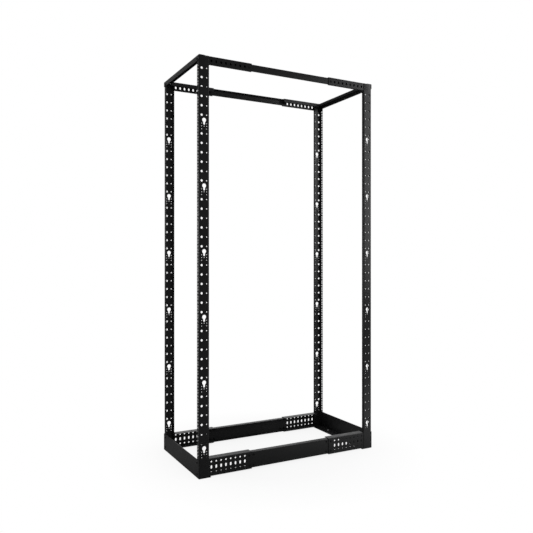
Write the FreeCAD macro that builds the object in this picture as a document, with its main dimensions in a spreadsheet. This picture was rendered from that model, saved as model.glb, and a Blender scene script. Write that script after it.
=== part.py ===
import FreeCAD, Part
import math
import os

import Sketcher

# A four post open frame rack for 19 inch equipment: four punched sheet posts on two base end
# beams, tied at the top by two head beams, and at each side by telescoping rails that set the
# depth. Millimetres. The row frame has X across the rack, Y from the front to the rear and Z up,
# with its origin on the floor, midway between the posts.

SIZES = (
    # the standard that the equipment fits
    ("rack_units", 42, "height of the equipment space, in rack units"),
    ("unit_pitch", 44.45, "height of one rack unit"),
    ("first_hole_rise", 6.35, "lowest square hole of a unit, above the unit's bottom"),
    ("hole_step", 15.875, "from a unit's lowest square hole to its middle one, and on to its top one"),
    ("mounting_flange", 28.575, "width of the post's face that the equipment bolts to"),
    ("hole_inset", 7.125, "inner edge of a mounting flange to its column of square holes"),
    ("square_hole", 9.5, "side of a square mounting hole"),
    # the whole rack
    ("post_span_width", 508.0, "over the side webs of the posts"),
    ("post_span_depth", 1016.0, "over the mounting faces of the posts"),
    ("foot_room", 99.5, "floor to the bottom of the lowest unit"),
    ("head_room", 40.2, "top of the highest unit to the top of the rack"),
    ("sheet", 2.5, "thickness of the posts and rails"),
    ("beam_sheet", 3.0, "thickness of the end beams"),
    # posts
    ("post_web", 50.8, "side face of a post, front to back"),
    ("return_flange", 16.0, "flange at the inner edge of a post's side face"),
    ("keyhole_interval", 7, "rack units from one keyhole to the next"),
    ("keyhole_rise", 20.9, "middle of its rack unit to the head of a keyhole"),
    ("keyhole_head", 20.5, "across the head of a keyhole"),
    ("keyhole_slot", 9.5, "across the slot of a keyhole"),
    ("keyhole_drop", 22.5, "centre of a keyhole's head to the foot of its slot"),
    # end beams
    ("base_beam_height", 88.9, "floor to the top of a base end beam"),
    ("base_beam_foot", 63.5, "depth of a base end beam's floor flange"),
    ("anchor_hole", 13.0, "floor anchor hole"),
    ("anchor_side_inset", 116.0, "side of the rack to an anchor hole"),
    ("anchor_face_inset", 25.0, "outer face of a base end beam to its anchor holes"),
    ("head_beam_height", 26.0, "outer face of a head beam"),
    ("head_beam_flange", 31.0, "depth of a head beam's top flange"),
    ("head_beam_leg", 15.0, "inner leg that hangs from that flange, with its sheet"),
    ("fit_gap", 1.0, "between a head beam and the posts and sleeves beside it"),
    # side rails
    ("rail_setback", 2.5, "side web of a post to the side web of a sleeve"),
    ("nest_gap", 0.7, "between a sleeve and the channel inside it"),
    ("column_inset", 63.5, "mounting face to a sleeve's first column of slots"),
    ("column_pitch", 25.4, "between columns of slots"),
    ("slot_columns", 8, "columns of slots in a sleeve, before the column of its bolts"),
    ("foot_gap", 1.5, "between a base beam's foot and the sleeves above it"),
    ("base_sleeve_flange", 40.0, "depth of a base sleeve's top flange"),
    ("base_sleeve_lip", 28.0, "depth of a base sleeve's lower flange"),
    ("base_sleeve_leg", 9.5, "upturned inner leg of that flange, with its sheet"),
    ("base_channel_flange", 28.0, "depth of a base channel's top flange"),
    ("base_slot_rise", 43.1, "underside of a base sleeve to the middle of its slots"),
    ("base_slot_width", 9.0, "width of a base sleeve's slot"),
    ("base_slot_height", 16.0, "height of a base sleeve's slot"),
    ("head_sleeve_height", 40.0, "side web of a head sleeve"),
    ("head_sleeve_flange", 29.3, "depth of a head sleeve's top flange"),
    ("head_sleeve_leg", 20.0, "inner leg that hangs from that flange, with its sheet"),
    ("head_sleeve_lip", 11.0, "depth of a head sleeve's lower flange"),
    ("head_slot_rise", 18.4, "underside of a head sleeve to the middle of its slots"),
    ("head_slot_width", 9.5, "width of a head sleeve's slot"),
    ("head_slot_height", 14.0, "height of a head sleeve's slot"),
    # sizes that follow from the ones above
    ("panel_opening", "=post_span_width - 2 * mounting_flange", "between the mounting flanges, 450.85"),
    ("hole_span", "=panel_opening + 2 * hole_inset", "between the columns of square holes, 465.1"),
    ("base_sleeve_rise", "=beam_sheet + foot_gap", "floor to the underside of a base sleeve"),
    ("base_sleeve_height", "=base_beam_height - base_sleeve_rise", "side web of a base sleeve"),
)


class Length:
    """A size as a number, which places a first guess, and as the formula on the sheet that drives it."""

    def __init__(self, value, formula):
        self.value = float(value)
        self.formula = formula

    @staticmethod
    def of(size):
        return size if isinstance(size, Length) else Length(size, repr(float(size)))

    def __add__(self, other):
        other = Length.of(other)
        return Length(self.value + other.value, f"({self.formula} + {other.formula})")

    def __sub__(self, other):
        other = Length.of(other)
        return Length(self.value - other.value, f"({self.formula} - {other.formula})")

    def __mul__(self, factor):
        factor = Length.of(factor)
        return Length(self.value * factor.value, f"({self.formula} * {factor.formula})")

    def __truediv__(self, other):
        other = Length.of(other)
        return Length(self.value / other.value, f"({self.formula} / {other.formula})")

    def __neg__(self):
        return Length(-self.value, f"(-{self.formula})")

    def whole(self):
        return Length(math.floor(self.value), f"floor({self.formula})")

    def root(self):
        return Length(math.sqrt(self.value), f"sqrt({self.formula})")


def make_sheet(doc):
    """The spreadsheet of driving sizes, and the sizes by name."""
    sheet = doc.addObject("Spreadsheet::Sheet", "Sizes")
    for row, (alias, value, meaning) in enumerate(SIZES, start=1):
        sheet.set(f"A{row}", meaning)
        sheet.set(f"B{row}", str(value))
        sheet.setAlias(f"B{row}", alias)
    doc.recompute()
    return {alias: Length(sheet.get(alias), f"Sizes.{alias}") for alias, _, _ in SIZES}


def bind(thing, path, size):
    """Drives one property of an object from the sheet."""
    thing.setExpression(path, size.formula)


def origin_feature(body, role):
    """One of a body's own origin planes or axes."""
    return next(f for f in body.Origin.OriginFeatures if f.Role == role)


def make_body(doc, label, x, y, z):
    """An empty body whose corner stands at a place given by the sheet."""
    body = doc.addObject("PartDesign::Body", label)
    body.Label = label
    bind(body, "Placement.Base.x", Length.of(x))
    bind(body, "Placement.Base.y", Length.of(y))
    bind(body, "Placement.Base.z", Length.of(z))
    return body


def make_sketch(body, name, plane):
    """An empty sketch on one of a body's origin planes."""
    sketch = body.newObject("Sketcher::SketchObject", name)
    sketch.AttachmentSupport = [(origin_feature(body, plane), "")]
    sketch.MapMode = "FlatFace"
    return sketch


def place_point(sketch, line, axis, size):
    """Ties the start of a line to the origin along one axis, 0 for across and 1 for up."""
    if size.value == 0.0:
        sketch.addConstraint(Sketcher.Constraint("PointOnObject", line, 1, -2 if axis == 0 else -1))
        return
    kind = ("DistanceX", "DistanceY")[axis]
    if size.value > 0.0:
        constraint = Sketcher.Constraint(kind, -1, 1, line, 1, size.value)
    else:
        size = -size
        constraint = Sketcher.Constraint(kind, line, 1, -1, 1, size.value)
    bind(sketch, f"Constraints[{sketch.addConstraint(constraint)}]", size)


def add_outline(sketch, corners):
    """A closed outline through the corners, with every corner driven by the sheet."""
    corners = [(Length.of(x), Length.of(y)) for x, y in corners]
    count = len(corners)
    points = [FreeCAD.Vector(x.value, y.value, 0) for x, y in corners]
    first = sketch.GeometryCount
    for i in range(count):
        sketch.addGeometry(Part.LineSegment(points[i], points[(i + 1) % count]), False)
    for i in range(count):
        sketch.addConstraint(Sketcher.Constraint("Coincident", first + i, 2, first + (i + 1) % count, 1))
    for axis, level in ((0, "Vertical"), (1, "Horizontal")):
        for i in range(count):
            here, back = corners[i][axis], corners[i - 1][axis]
            if here.formula == back.formula:
                sketch.addConstraint(Sketcher.Constraint(level, first + (i - 1) % count))
            else:
                place_point(sketch, first + i, axis, here)


def add_circle(sketch, x, y, diameter):
    """A circle whose centre and diameter are driven by the sheet."""
    x, y = Length.of(x), Length.of(y)
    centre = FreeCAD.Vector(x.value, y.value, 0)
    circle = sketch.addGeometry(
        Part.Circle(centre, FreeCAD.Vector(0, 0, 1), diameter.value / 2), False
    )
    for kind, size in (("DistanceX", x), ("DistanceY", y)):
        ends = (-1, 1, circle, 3) if size.value >= 0 else (circle, 3, -1, 1)
        size = size if size.value >= 0 else -size
        index = sketch.addConstraint(Sketcher.Constraint(kind, *ends, size.value))
        bind(sketch, f"Constraints[{index}]", size)
    index = sketch.addConstraint(Sketcher.Constraint("Diameter", circle, diameter.value))
    bind(sketch, f"Constraints[{index}]", diameter)


def rectangle(x, y, width, height):
    """Corners of a rectangle about a centre."""
    left, right = x - width / 2, x + width / 2
    low, high = y - height / 2, y + height / 2
    return ((left, low), (right, low), (right, high), (left, high))


def round_points(x, y, diameter, degrees):
    """Points on a circle at the given angles."""
    points = []
    for angle in map(math.radians, degrees):
        points.append((x + diameter * (math.cos(angle) / 2), y + diameter * (math.sin(angle) / 2)))
    return points


def keyhole(x, y, head, width, drop):
    """A round head about (x, y) that opens into a slot below it."""
    left, right = x - width / 2, x + width / 2
    foot = y - drop
    neck = y - ((head * head - width * width).root()) / 2
    return (
        [(left, neck), (left, foot + width / 4), (x - width / 4, foot)]
        + [(x + width / 4, foot), (right, foot + width / 4), (right, neck)]
        + round_points(x, y, head, (-30, 18, 66, 114, 162, 210))
    )


def pad(body, sketch, name, length, side="One side", flip=False):
    """Adds the sketch's area to the body, along its normal or both ways from it."""
    feature = body.newObject("PartDesign::Pad", name)
    feature.Profile = sketch
    feature.SideType = side
    feature.Reversed = flip
    bind(feature, "Length", length)
    body.Document.recompute()
    return feature


def punch(body, sketch, name, wall):
    """Cuts the sketch's area through a wall that lies on the sketch's plane, from both sides."""
    feature = body.newObject("PartDesign::Pocket", name)
    feature.Profile = sketch
    feature.SideType = "Symmetric"
    bind(feature, "Length", wall * 4)
    body.Document.recompute()
    return feature


def repeat(body, feature, name, axis, pitch, count):
    """Repeats a punched shape along one of the body's axes."""
    pattern = body.newObject("PartDesign::LinearPattern", name)
    pattern.Originals = [feature]
    pattern.Direction = (origin_feature(body, axis), [""])
    pattern.Mode = "Spacing"
    bind(pattern, "Offset", pitch)
    bind(pattern, "Occurrences", count)
    body.Tip = pattern
    body.Document.recompute()
    return pattern


def bend(body, name, run, places, radius):
    """Rounds the outer edges of a fold that run along one axis through given places of the section."""
    across = [i for i in range(3) if i != run]
    base = body.Tip
    names = []
    for index, edge in enumerate(base.Shape.Edges, start=1):
        ends = [vertex.Point for vertex in edge.Vertexes]
        if len(ends) != 2 or abs(ends[0][run] - ends[1][run]) < edge.Length * 0.999:
            continue
        for place in places:
            if all(abs(ends[0][i] - Length.of(p).value) < 1e-4 for i, p in zip(across, place)):
                names.append(f"Edge{index}")
    if len(names) != len(places):
        raise RuntimeError(f"{body.Label}: {name} found {len(names)} edges, not {len(places)}")
    feature = body.newObject("PartDesign::Fillet", name)
    feature.Base = (base, names)
    bind(feature, "Radius", radius)
    body.Tip = feature
    body.Document.recompute()
    return feature


def check_removed(body, before, area, count):
    """Compares what the punched holes took out with their area times the wall."""
    removed = before - body.Tip.Shape.Volume
    expected = area * count
    if abs(removed - expected) > 0.01 * expected:
        raise RuntimeError(f"{body.Label}: the holes took {removed:.1f} mm3, not {expected:.1f}")


def outline_area(corners):
    """Area inside a closed outline."""
    total = 0.0
    for (x, y), (back_x, back_y) in zip(corners, corners[-1:] + corners[:-1]):
        total += Length.of(back_x).value * Length.of(y).value
        total -= Length.of(x).value * Length.of(back_y).value
    return abs(total) / 2


def mirror(doc, source, label, normal):
    """The same piece on the other side of the rack."""
    copy = doc.addObject("Part::Mirroring", label)
    copy.Label = label
    copy.Source = source
    copy.Base = FreeCAD.Vector(0, 0, 0)
    copy.Normal = normal
    return copy


def channel_section(width, near, far, sheet, near_leg=None, far_leg=None):
    """A channel, its web along the second axis and its flanges towards minus the first.

    A flange may end in a leg that turns back towards the other flange.
    """
    inner = width - sheet
    corners = [(0, 0), (0, width), (-far, width)]
    if far_leg:
        corners += [(-far, width - far_leg), (sheet - far, width - far_leg), (sheet - far, inner)]
    else:
        corners += [(-far, inner)]
    corners += [(-sheet, inner), (-sheet, sheet)]
    if near_leg:
        corners += [(sheet - near, sheet), (sheet - near, near_leg), (-near, near_leg)]
    else:
        corners += [(-near, sheet)]
    return corners + [(-near, 0)]


def make_post(doc, size):
    """The front right post: a channel with its mounting flange at the front and its web outside."""
    sheet, web, pitch = size["sheet"], size["post_web"], size["unit_pitch"]
    height = rack_height(size) - size["beam_sheet"] * 2
    body = make_body(
        doc,
        "post_front_right",
        size["post_span_width"] / 2,
        -(size["post_span_depth"] / 2),
        size["beam_sheet"],
    )
    section = make_sketch(body, "post_section", "XY_Plane")
    flanges = size["mounting_flange"], size["return_flange"]
    add_outline(section, channel_section(web, *flanges, sheet))
    pad(body, section, "post_sheet", height)
    bend(body, "post_bends", 2, [(0, 0), (0, web)], sheet)

    # three square holes in each unit of the mounting flange
    first_unit = size["foot_room"] - size["beam_sheet"]
    column = (size["hole_span"] - size["post_span_width"]) / 2
    squares = make_sketch(body, "unit_squares", "XZ_Plane")
    for step in range(3):
        rise = first_unit + size["first_hole_rise"] + size["hole_step"] * step
        add_outline(squares, rectangle(column, rise, size["square_hole"], size["square_hole"]))
    before = body.Tip.Shape.Volume
    unit_holes = punch(body, squares, "unit_holes", sheet)
    repeat(body, unit_holes, "mounting_holes", "Z_Axis", pitch, size["rack_units"])
    area = size["square_hole"].value ** 2
    check_removed(body, before, area * sheet.value, 3 * size["rack_units"].value)

    # a keyhole in the web at the lowest unit of each group
    interval = size["keyhole_interval"]
    groups = (size["rack_units"] / interval).whole()
    outline = keyhole(
        web / 2,
        first_unit + pitch / 2 + size["keyhole_rise"],
        size["keyhole_head"],
        size["keyhole_slot"],
        size["keyhole_drop"],
    )
    keyhole_sketch = make_sketch(body, "keyhole_outline", "YZ_Plane")
    add_outline(keyhole_sketch, outline)
    before = body.Tip.Shape.Volume
    one_keyhole = punch(body, keyhole_sketch, "keyhole", sheet)
    repeat(body, one_keyhole, "keyholes", "Z_Axis", pitch * interval, groups)
    check_removed(body, before, outline_area(outline) * sheet.value, groups.value)
    return body


def rack_height(size):
    """Floor to the top of the head beams."""
    return size["foot_room"] + size["rack_units"] * size["unit_pitch"] + size["head_room"]


def make_base_end(doc, size):
    """The front base beam: an angle whose upright face bolts to the posts and whose foot they stand on."""
    sheet, foot, width = size["beam_sheet"], size["base_beam_foot"], size["post_span_width"]
    height = size["base_beam_height"]
    body = make_body(doc, "base_end_front", 0, -(size["post_span_depth"] / 2 + sheet), 0)
    section = make_sketch(body, "base_end_section", "YZ_Plane")
    add_outline(
        section, [(0, 0), (foot, 0), (foot, sheet), (sheet, sheet), (sheet, height), (0, height)]
    )
    pad(body, section, "base_end_sheet", width, side="Symmetric")
    bend(body, "base_end_bend", 0, [(0, 0)], sheet)

    anchors = make_sketch(body, "anchor_outlines", "XY_Plane")
    across = width / 2 - size["anchor_side_inset"]
    for x in (-across, across):
        add_circle(anchors, x, size["anchor_face_inset"], size["anchor_hole"])
    before = body.Tip.Shape.Volume
    punch(body, anchors, "anchor_holes", sheet)
    check_removed(body, before, math.pi * (size["anchor_hole"].value / 2) ** 2 * sheet.value, 2)
    return body


def make_top_end(doc, size):
    """The front head beam: its flange lies on the posts, and its inner leg hangs between them."""
    sheet, height = size["beam_sheet"], size["head_beam_height"]
    flange, leg = size["head_beam_flange"], size["head_beam_leg"]
    body = make_body(
        doc, "top_end_front", 0, -(size["post_span_depth"] / 2 + sheet), rack_height(size)
    )
    section = make_sketch(body, "top_end_section", "YZ_Plane")
    add_outline(
        section, [(0, 0), (0, -height), (sheet, -height), (sheet, -sheet), (flange, -sheet), (flange, 0)]
    )
    pad(body, section, "top_end_sheet", size["post_span_width"], side="Symmetric")
    bend(body, "top_end_bend", 0, [(0, 0)], sheet)

    leg_section = make_sketch(body, "top_leg_section", "YZ_Plane")
    inner = flange - sheet
    add_outline(leg_section, [(inner, -leg), (flange, -leg), (flange, -sheet), (inner, -sheet)])
    between = size["panel_opening"] - size["fit_gap"] * 2
    pad(body, leg_section, "top_leg", between, side="Symmetric")
    return body


def sleeve_end(size):
    """Mounting face to the free end of a sleeve, half a column past the column of its bolts."""
    return size["column_inset"] + size["column_pitch"] * (size["slot_columns"] + 0.5)


def make_sleeve(doc, size, label, low, height, section, folds, slot):
    """A front right sleeve: a channel with a row of slots, and a tab against the post's return flange."""
    sheet = size["sheet"]
    body = make_body(
        doc,
        label,
        size["post_span_width"] / 2 - size["rail_setback"],
        size["post_web"] - size["post_span_depth"] / 2,
        low,
    )
    profile = make_sketch(body, f"{label}_section", "XZ_Plane")
    add_outline(profile, section)
    pad(body, profile, f"{label}_sheet", sleeve_end(size) - size["post_web"], flip=True)
    bend(body, f"{label}_bends", 1, folds, sheet)

    tab = make_sketch(body, f"{label}_tab_outline", "XZ_Plane")
    tab_edge = size["rail_setback"] - size["return_flange"]
    top = height - sheet
    add_outline(tab, [(tab_edge, sheet), (-sheet, sheet), (-sheet, top), (tab_edge, top)])
    pad(body, tab, f"{label}_tab", sheet, flip=True)

    slot_rise, slot_width, slot_height = slot
    first_column = size["column_inset"] - size["post_web"]
    outline = rectangle(first_column, slot_rise, slot_width, slot_height)
    slots = make_sketch(body, f"{label}_slot_outline", "YZ_Plane")
    add_outline(slots, outline)
    before = body.Tip.Shape.Volume
    one_slot = punch(body, slots, f"{label}_slot", sheet)
    repeat(body, one_slot, f"{label}_slots", "Y_Axis", size["column_pitch"], size["slot_columns"])
    check_removed(body, before, outline_area(outline) * sheet.value, size["slot_columns"].value)
    return body


def make_base_sleeve(doc, size):
    """The base sleeve: its lower flange ends in an upturned leg."""
    height, flange, lip = (size[f"base_sleeve_{part}"] for part in ("height", "flange", "lip"))
    section = channel_section(height, lip, flange, size["sheet"], near_leg=size["base_sleeve_leg"])
    folds = [(0, 0), (0, height), (-lip, 0)]
    slot = size["base_slot_rise"], size["base_slot_width"], size["base_slot_height"]
    low = size["base_sleeve_rise"]
    return make_sleeve(doc, size, "base_sleeve_front_right", low, height, section, folds, slot)


def head_sleeve_low(size):
    """Floor to the underside of a head sleeve, whose top flange lies level with the posts' ends."""
    return rack_height(size) - size["beam_sheet"] + size["sheet"] - size["head_sleeve_height"]


def make_head_sleeve(doc, size):
    """The head sleeve: its top flange ends in a leg that hangs down and reaches over the post's end."""
    height, flange, lip = (size[f"head_sleeve_{part}"] for part in ("height", "flange", "lip"))
    section = channel_section(height, lip, flange, size["sheet"], far_leg=size["head_sleeve_leg"])
    folds = [(0, 0), (0, height), (-flange, height)]
    slot = size["head_slot_rise"], size["head_slot_width"], size["head_slot_height"]
    low = head_sleeve_low(size)
    body = make_sleeve(doc, size, "top_sleeve_front_right", low, height, section, folds, slot)

    cover = make_sketch(body, "post_cover_outline", "XZ_Plane")
    under = height - size["sheet"]
    add_outline(cover, [(-flange, under), (0, under), (0, height), (-flange, height)])
    reach = size["post_web"] + size["beam_sheet"] - size["head_beam_flange"] - size["fit_gap"]
    pad(body, cover, "post_cover", reach)
    return body


def make_channel(doc, size, label, low, height, lower_flange, top_flange):
    """The right channel that slides inside two sleeves, given its own flanges and their height."""
    sheet = size["sheet"]
    step = nest_step(size)
    body = make_body(
        doc, label, size["post_span_width"] / 2 - size["rail_setback"] - step, 0, low + step
    )
    tall = height - step * 2
    section = make_sketch(body, f"{label}_section", "XZ_Plane")
    add_outline(section, channel_section(tall, lower_flange, top_flange, sheet))
    length = size["post_span_depth"] - (sleeve_end(size) - size["column_pitch"]) * 2
    pad(body, section, f"{label}_sheet", length, side="Symmetric")
    bend(body, f"{label}_bends", 1, [(0, 0), (0, tall)], sheet)
    return body


def nest_step(size):
    """From the outside of a sleeve to the outside of the channel in it."""
    return size["sheet"] + size["nest_gap"]


def make_rails(doc, size):
    """The sleeves and channels of the right side, at the base and at the head."""
    step = nest_step(size)
    base = (
        size["base_sleeve_rise"],
        size["base_sleeve_height"],
        size["base_sleeve_lip"] - step * 2,
        size["base_channel_flange"],
    )
    head = (
        head_sleeve_low(size),
        size["head_sleeve_height"],
        size["head_sleeve_lip"] - step,
        size["head_sleeve_flange"] - step * 2,
    )
    sleeves = [make_base_sleeve(doc, size), make_head_sleeve(doc, size)]
    channels = [
        make_channel(doc, size, "base_channel_right", *base),
        make_channel(doc, size, "top_channel_right", *head),
    ]
    return sleeves, channels


def mirror_across(doc, pieces):
    """The left hand pieces that face right hand ones."""
    side = FreeCAD.Vector(1, 0, 0)
    return [mirror(doc, piece, piece.Label.replace("right", "left"), side) for piece in pieces]


def mirror_back(doc, pieces):
    """The rear pieces that face front ones."""
    back = FreeCAD.Vector(0, 1, 0)
    return [mirror(doc, piece, piece.Label.replace("front", "rear"), back) for piece in pieces]


def check_and_export(doc, pieces):
    """Stops at a failed feature or a broken solid, then writes each piece to its own file."""
    doc.recompute()
    for thing in doc.Objects:
        if "Invalid" in thing.State or "Error" in thing.State:
            raise RuntimeError(f"{thing.Label} failed: {thing.State}")
    for piece in pieces:
        shape = piece.Shape
        if shape.isNull() or not shape.isValid() or len(shape.Solids) != 1 or shape.Volume <= 0:
            raise RuntimeError(f"{piece.Label} is not one good solid")
    os.makedirs("parts", exist_ok=True)
    for piece in pieces:
        piece.Shape.exportStep(f"parts/{piece.Label}.step")
        print(f"{piece.Label}: {piece.Shape.Volume / 1000:.1f} cm3")


def main():
    doc = FreeCAD.newDocument("four_post_rack")
    size = make_sheet(doc)
    sleeves, channels = make_rails(doc, size)
    corners = [make_post(doc, size)] + sleeves
    ends = [make_base_end(doc, size), make_top_end(doc, size)]
    doc.recompute()
    corners += mirror_across(doc, corners)
    channels += mirror_across(doc, channels)
    doc.recompute()
    pieces = corners + ends + mirror_back(doc, corners + ends) + channels
    check_and_export(doc, pieces)


main()
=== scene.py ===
import logging
import math
from dataclasses import dataclass
from enum import Enum

import bmesh
import bpy
from mathutils import Matrix, Vector


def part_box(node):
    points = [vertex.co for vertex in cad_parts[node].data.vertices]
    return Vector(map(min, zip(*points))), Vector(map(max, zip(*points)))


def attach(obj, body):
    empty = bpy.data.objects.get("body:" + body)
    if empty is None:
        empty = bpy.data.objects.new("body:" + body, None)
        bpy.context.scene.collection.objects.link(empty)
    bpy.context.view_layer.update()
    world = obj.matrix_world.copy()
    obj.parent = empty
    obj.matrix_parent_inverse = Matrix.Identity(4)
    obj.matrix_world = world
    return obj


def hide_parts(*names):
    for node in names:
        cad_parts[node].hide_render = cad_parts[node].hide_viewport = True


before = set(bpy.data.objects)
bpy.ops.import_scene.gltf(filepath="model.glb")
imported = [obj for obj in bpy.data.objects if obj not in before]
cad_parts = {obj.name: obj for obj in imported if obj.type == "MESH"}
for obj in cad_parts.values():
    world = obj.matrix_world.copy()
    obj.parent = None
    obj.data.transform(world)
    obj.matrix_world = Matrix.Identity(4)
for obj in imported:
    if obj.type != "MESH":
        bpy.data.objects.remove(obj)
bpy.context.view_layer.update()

logging.basicConfig(level=logging.INFO, format="%(message)s")
log = logging.getLogger("rack")

Pair = tuple[float, float]
Triple = tuple[float, float, float]
Box = tuple[Vector, Vector]

MM = 0.001
BODY = "root"
CORNERS = {
    ("front", "right"): (1, 1),
    ("front", "left"): (-1, 1),
    ("rear", "right"): (1, -1),
    ("rear", "left"): (-1, -1),
}
WHITE = (1.0, 1.0, 1.0, 1.0)
UNTURNED = (0.0, 0.0, 0.0)
WELD_DISTANCE = 1e-5  # metres

# level that a noise texture varies about
NOISE_MIDDLE = 0.5
# sockets of a Mix node of colours, which share their names with those of its other kinds
MIX_FACTOR, MIX_FIRST, MIX_SECOND, MIX_RESULT = 0, 6, 7, 2

# angles between faces, in degrees, from which an edge is chamfered or shaded sharp
CHAMFERED_FROM = 50.0
SHEET_SHARP_FROM = 30.0
FASTENER_SHARP_FROM = 32.0


# ---------------- meshes


def in_scene(name: str, data: bpy.types.ID) -> bpy.types.Object:
    """Puts a mesh, lamp or camera in the scene.

    Args:
        name: the new object's name.
        data: what it holds.

    Returns:
        The object, at the origin.
    """
    made = bpy.data.objects.new(name, data)
    bpy.context.scene.collection.objects.link(made)
    return made


def plain_mesh(carrier: bpy.types.Object) -> bpy.types.Mesh:
    """Applies an object's modifiers, and removes the object.

    Args:
        carrier: the object.

    Returns:
        What its modifiers make of its mesh.
    """
    depsgraph = bpy.context.evaluated_depsgraph_get()
    result = bpy.data.meshes.new_from_object(carrier.evaluated_get(depsgraph))
    carrier.modifiers.clear()
    start = carrier.data
    bpy.data.objects.remove(carrier)
    bpy.data.meshes.remove(start)
    return result


def shaded(mesh: bpy.types.Mesh, sharp_from: float) -> bpy.types.Mesh:
    """Shades a mesh smoothly between its sharp edges.

    Args:
        mesh: the mesh.
        sharp_from: angle from which an edge is sharp, in degrees.

    Returns:
        The same mesh.
    """
    for polygon in mesh.polygons:
        polygon.use_smooth = True
    mesh.set_sharp_from_angle(angle=math.radians(sharp_from))
    return mesh


def joined(*meshes: bpy.types.Mesh) -> bpy.types.Mesh:
    """Joins meshes that have one material.

    Args:
        meshes: the meshes, of which all but the first are removed.

    Returns:
        The first one, which holds them all.
    """
    both = bmesh.new()
    for mesh in meshes:
        both.from_mesh(mesh)
    result, *others = meshes
    both.to_mesh(result)
    both.free()
    for mesh in others:
        bpy.data.meshes.remove(mesh)
    return result


def mirrored(mesh: bpy.types.Mesh, signs: tuple[int, int]) -> bpy.types.Mesh:
    """A copy of a front right mesh for another corner, its faces turned outwards again.

    Args:
        mesh: the front right mesh.
        signs: 1 or -1 for the mirror across the rack and from front to rear.

    Returns:
        The mirrored copy.
    """
    copy = mesh.copy()
    copy.transform(Matrix.Diagonal((*signs, 1.0, 1.0)))
    if signs[0] * signs[1] < 0:
        copy.flip_normals()
    return copy


def place_piece(name: str, mesh: bpy.types.Mesh, *nodes: str) -> None:
    """Makes a finished piece, which rides on the rack's body.

    Args:
        name: the piece's name.
        mesh: its mesh, in place in the row frame.
        nodes: the CAD nodes that it stands for.
    """
    piece = in_scene(name, mesh)
    mesh.name = name
    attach(piece, BODY)
    if nodes:
        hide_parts(*nodes)
    log.info("%s: %d faces", name, len(mesh.polygons))


def four_corners(name: str, mesh: bpy.types.Mesh) -> None:
    """Sets a front right mesh at all four corners.

    Args:
        name: what the piece is, as its CAD nodes' names begin.
        mesh: the front right mesh.
    """
    for (end, side), signs in CORNERS.items():
        place_piece(f"{end}_{side}_{name}", mirrored(mesh, signs), f"{name}_{end}_{side}")


# ---------------- node trees


class Value:
    """A node socket that takes part in Python expressions, which add Math nodes to its tree."""

    def __init__(self, tree: "NodeTree", socket: bpy.types.NodeSocket) -> None:
        """Wraps one output socket of a tree."""
        self.tree = tree
        self.socket = socket

    def __add__(self, other: "Value | float") -> "Value":
        """self + other."""
        return self.tree.maths("ADD", self, other)

    __radd__ = __add__

    def __mul__(self, other: "Value | float") -> "Value":
        """self * other."""
        return self.tree.maths("MULTIPLY", self, other)

    __rmul__ = __mul__

    def __sub__(self, other: "Value | float") -> "Value":
        """self - other."""
        return self.tree.maths("SUBTRACT", self, other)

    def __rsub__(self, other: float) -> "Value":
        """other - self."""
        return self.tree.maths("SUBTRACT", other, self)

    def __truediv__(self, other: "Value | float") -> "Value":
        """self / other."""
        return self.tree.maths("DIVIDE", self, other)

    def __rtruediv__(self, other: float) -> "Value":
        """other / self."""
        return self.tree.maths("DIVIDE", other, self)

    def clamp(self, low: float = 0.0, high: float = 1.0) -> "Value":
        """The value held between two numbers."""
        return self.tree.maths("MINIMUM", self.tree.maths("MAXIMUM", self, low), high)


@dataclass(frozen=True)
class Placed:
    """A node that has been added to a tree.

    Args:
        tree: the tree.
        node: the node.
    """

    tree: "NodeTree"
    node: bpy.types.Node

    def out(self, name: int | str = 0) -> Value:
        """One of the node's outputs, by its place or its name."""
        return Value(self.tree, self.node.outputs[name])


class NodeTree:
    """A shader or geometry tree that is written as calls and expressions."""

    def __init__(self, tree: bpy.types.NodeTree) -> None:
        """Takes over a tree and clears it."""
        self.tree = tree
        tree.nodes.clear()

    @classmethod
    def of(cls, data: bpy.types.Material | bpy.types.World) -> "NodeTree":
        """The cleared shader tree of a material or a world."""
        data.use_nodes = True
        return cls(data.node_tree)

    def add(self, kind: str, settings: dict | None = None, inputs: dict | None = None) -> Placed:
        """Adds a node.

        Args:
            kind: the node's type.
            settings: properties of the node, which are set first.
            inputs: values or links of its sockets, by name or place.

        Returns:
            The node in its tree.
        """
        node = self.tree.nodes.new(kind)
        for name, setting in (settings or {}).items():
            setattr(node, name, setting)
        for name, given in (inputs or {}).items():
            self.feed(node.inputs[name], given)
        return Placed(self, node)

    def feed(self, socket: bpy.types.NodeSocket, given: object) -> None:
        """Links or sets one input socket.

        Args:
            socket: the input socket.
            given: a Value to link, a list of them, or what the socket is set to.
        """
        for one in given if isinstance(given, list) else [given]:
            if isinstance(one, Value):
                self.tree.links.new(one.socket, socket)
            else:
                socket.default_value = one

    def maths(self, operation: str, *operands: Value | float) -> Value:
        """The result of a Math node."""
        return self.add("ShaderNodeMath", {"operation": operation}, dict(enumerate(operands))).out()

    def vector_maths(self, operation: str, *operands: Value | Triple) -> Placed:
        """A Vector Math node."""
        settings = {"operation": operation}
        return self.add("ShaderNodeVectorMath", settings, dict(enumerate(operands)))


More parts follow.
